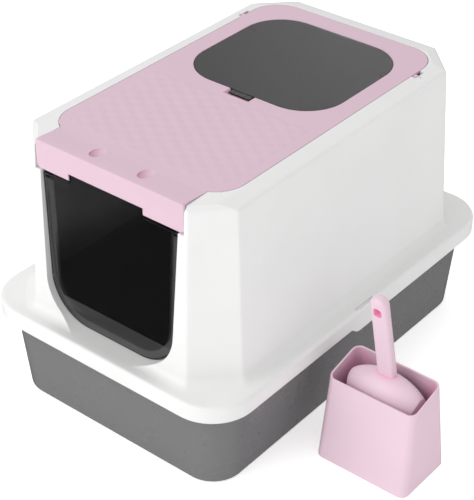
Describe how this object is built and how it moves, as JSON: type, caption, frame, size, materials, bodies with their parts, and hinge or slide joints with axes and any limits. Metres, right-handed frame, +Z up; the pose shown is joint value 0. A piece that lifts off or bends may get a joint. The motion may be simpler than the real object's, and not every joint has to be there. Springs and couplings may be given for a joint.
{
  "type": "hooded cat litter box",
  "caption": "Hooded cat litter box with a grey tray, a white hood, a pink lid with a smoked hatch, a smoked front door, and a pink scoop in its own stand.",
  "frame": {"origin": "centre of the tray's underside, on the floor", "axes": "+Z up, -Y towards the front door, +X towards the side where the scoop stands"},
  "size_m": [0.5591, 0.5936, 0.3885],
  "materials": {
    "grey_tray": "satin moulded grey",
    "white_shell": "satin moulded white",
    "pink_plastic": "satin moulded pale pink",
    "smoked_plastic": "clear, smoked dark grey, polished",
    "pin_plastic": "plain moulded white"
  },
  "bodies": {
    "tray": {"tray": "grey_tray"},
    "hood": {"hood": "white_shell", "lid_pivot_pins": "pin_plastic", "door_pivot_pins": "pin_plastic"},
    "lid": {"lid": "pink_plastic", "hatch_pivot_pins": "pin_plastic"},
    "hatch": {"hatch": "smoked_plastic"},
    "front_door": {"front_door": "smoked_plastic"},
    "scoop_stand": {"scoop_stand": "pink_plastic"},
    "scoop": {"scoop": "pink_plastic"}
  },
  "joints": [
    {"name": "hood_lift", "type": "slide", "parent": "tray", "child": "hood", "axis": [0, 0, 1], "range_m": [0, 0.2]},
    {"name": "lid_hinge", "type": "hinge", "parent": "hood", "child": "lid", "pos_m": [0, 0.17, 0.38], "axis": [-1, 0, 0], "range_deg": [0, 80]},
    {"name": "hatch_hinge", "type": "hinge", "parent": "lid", "child": "hatch", "pos_m": [0, 0.147, 0.381], "axis": [-1, 0, 0], "range_deg": [0, 85]},
    {"name": "door_hinge", "type": "hinge", "parent": "hood", "child": "front_door", "pos_m": [0, -0.2515, 0.343], "axis": [-1, 0, 0], "range_deg": [0, 85]},
    {"name": "stand_lift", "type": "slide", "parent": "tray", "child": "scoop_stand", "axis": [0, 0, 1], "range_m": [0, 0.1]},
    {"name": "scoop_lift", "type": "slide", "parent": "scoop_stand", "child": "scoop", "axis": [0, 0, 1], "range_m": [0, 0.16]}
  ]
}
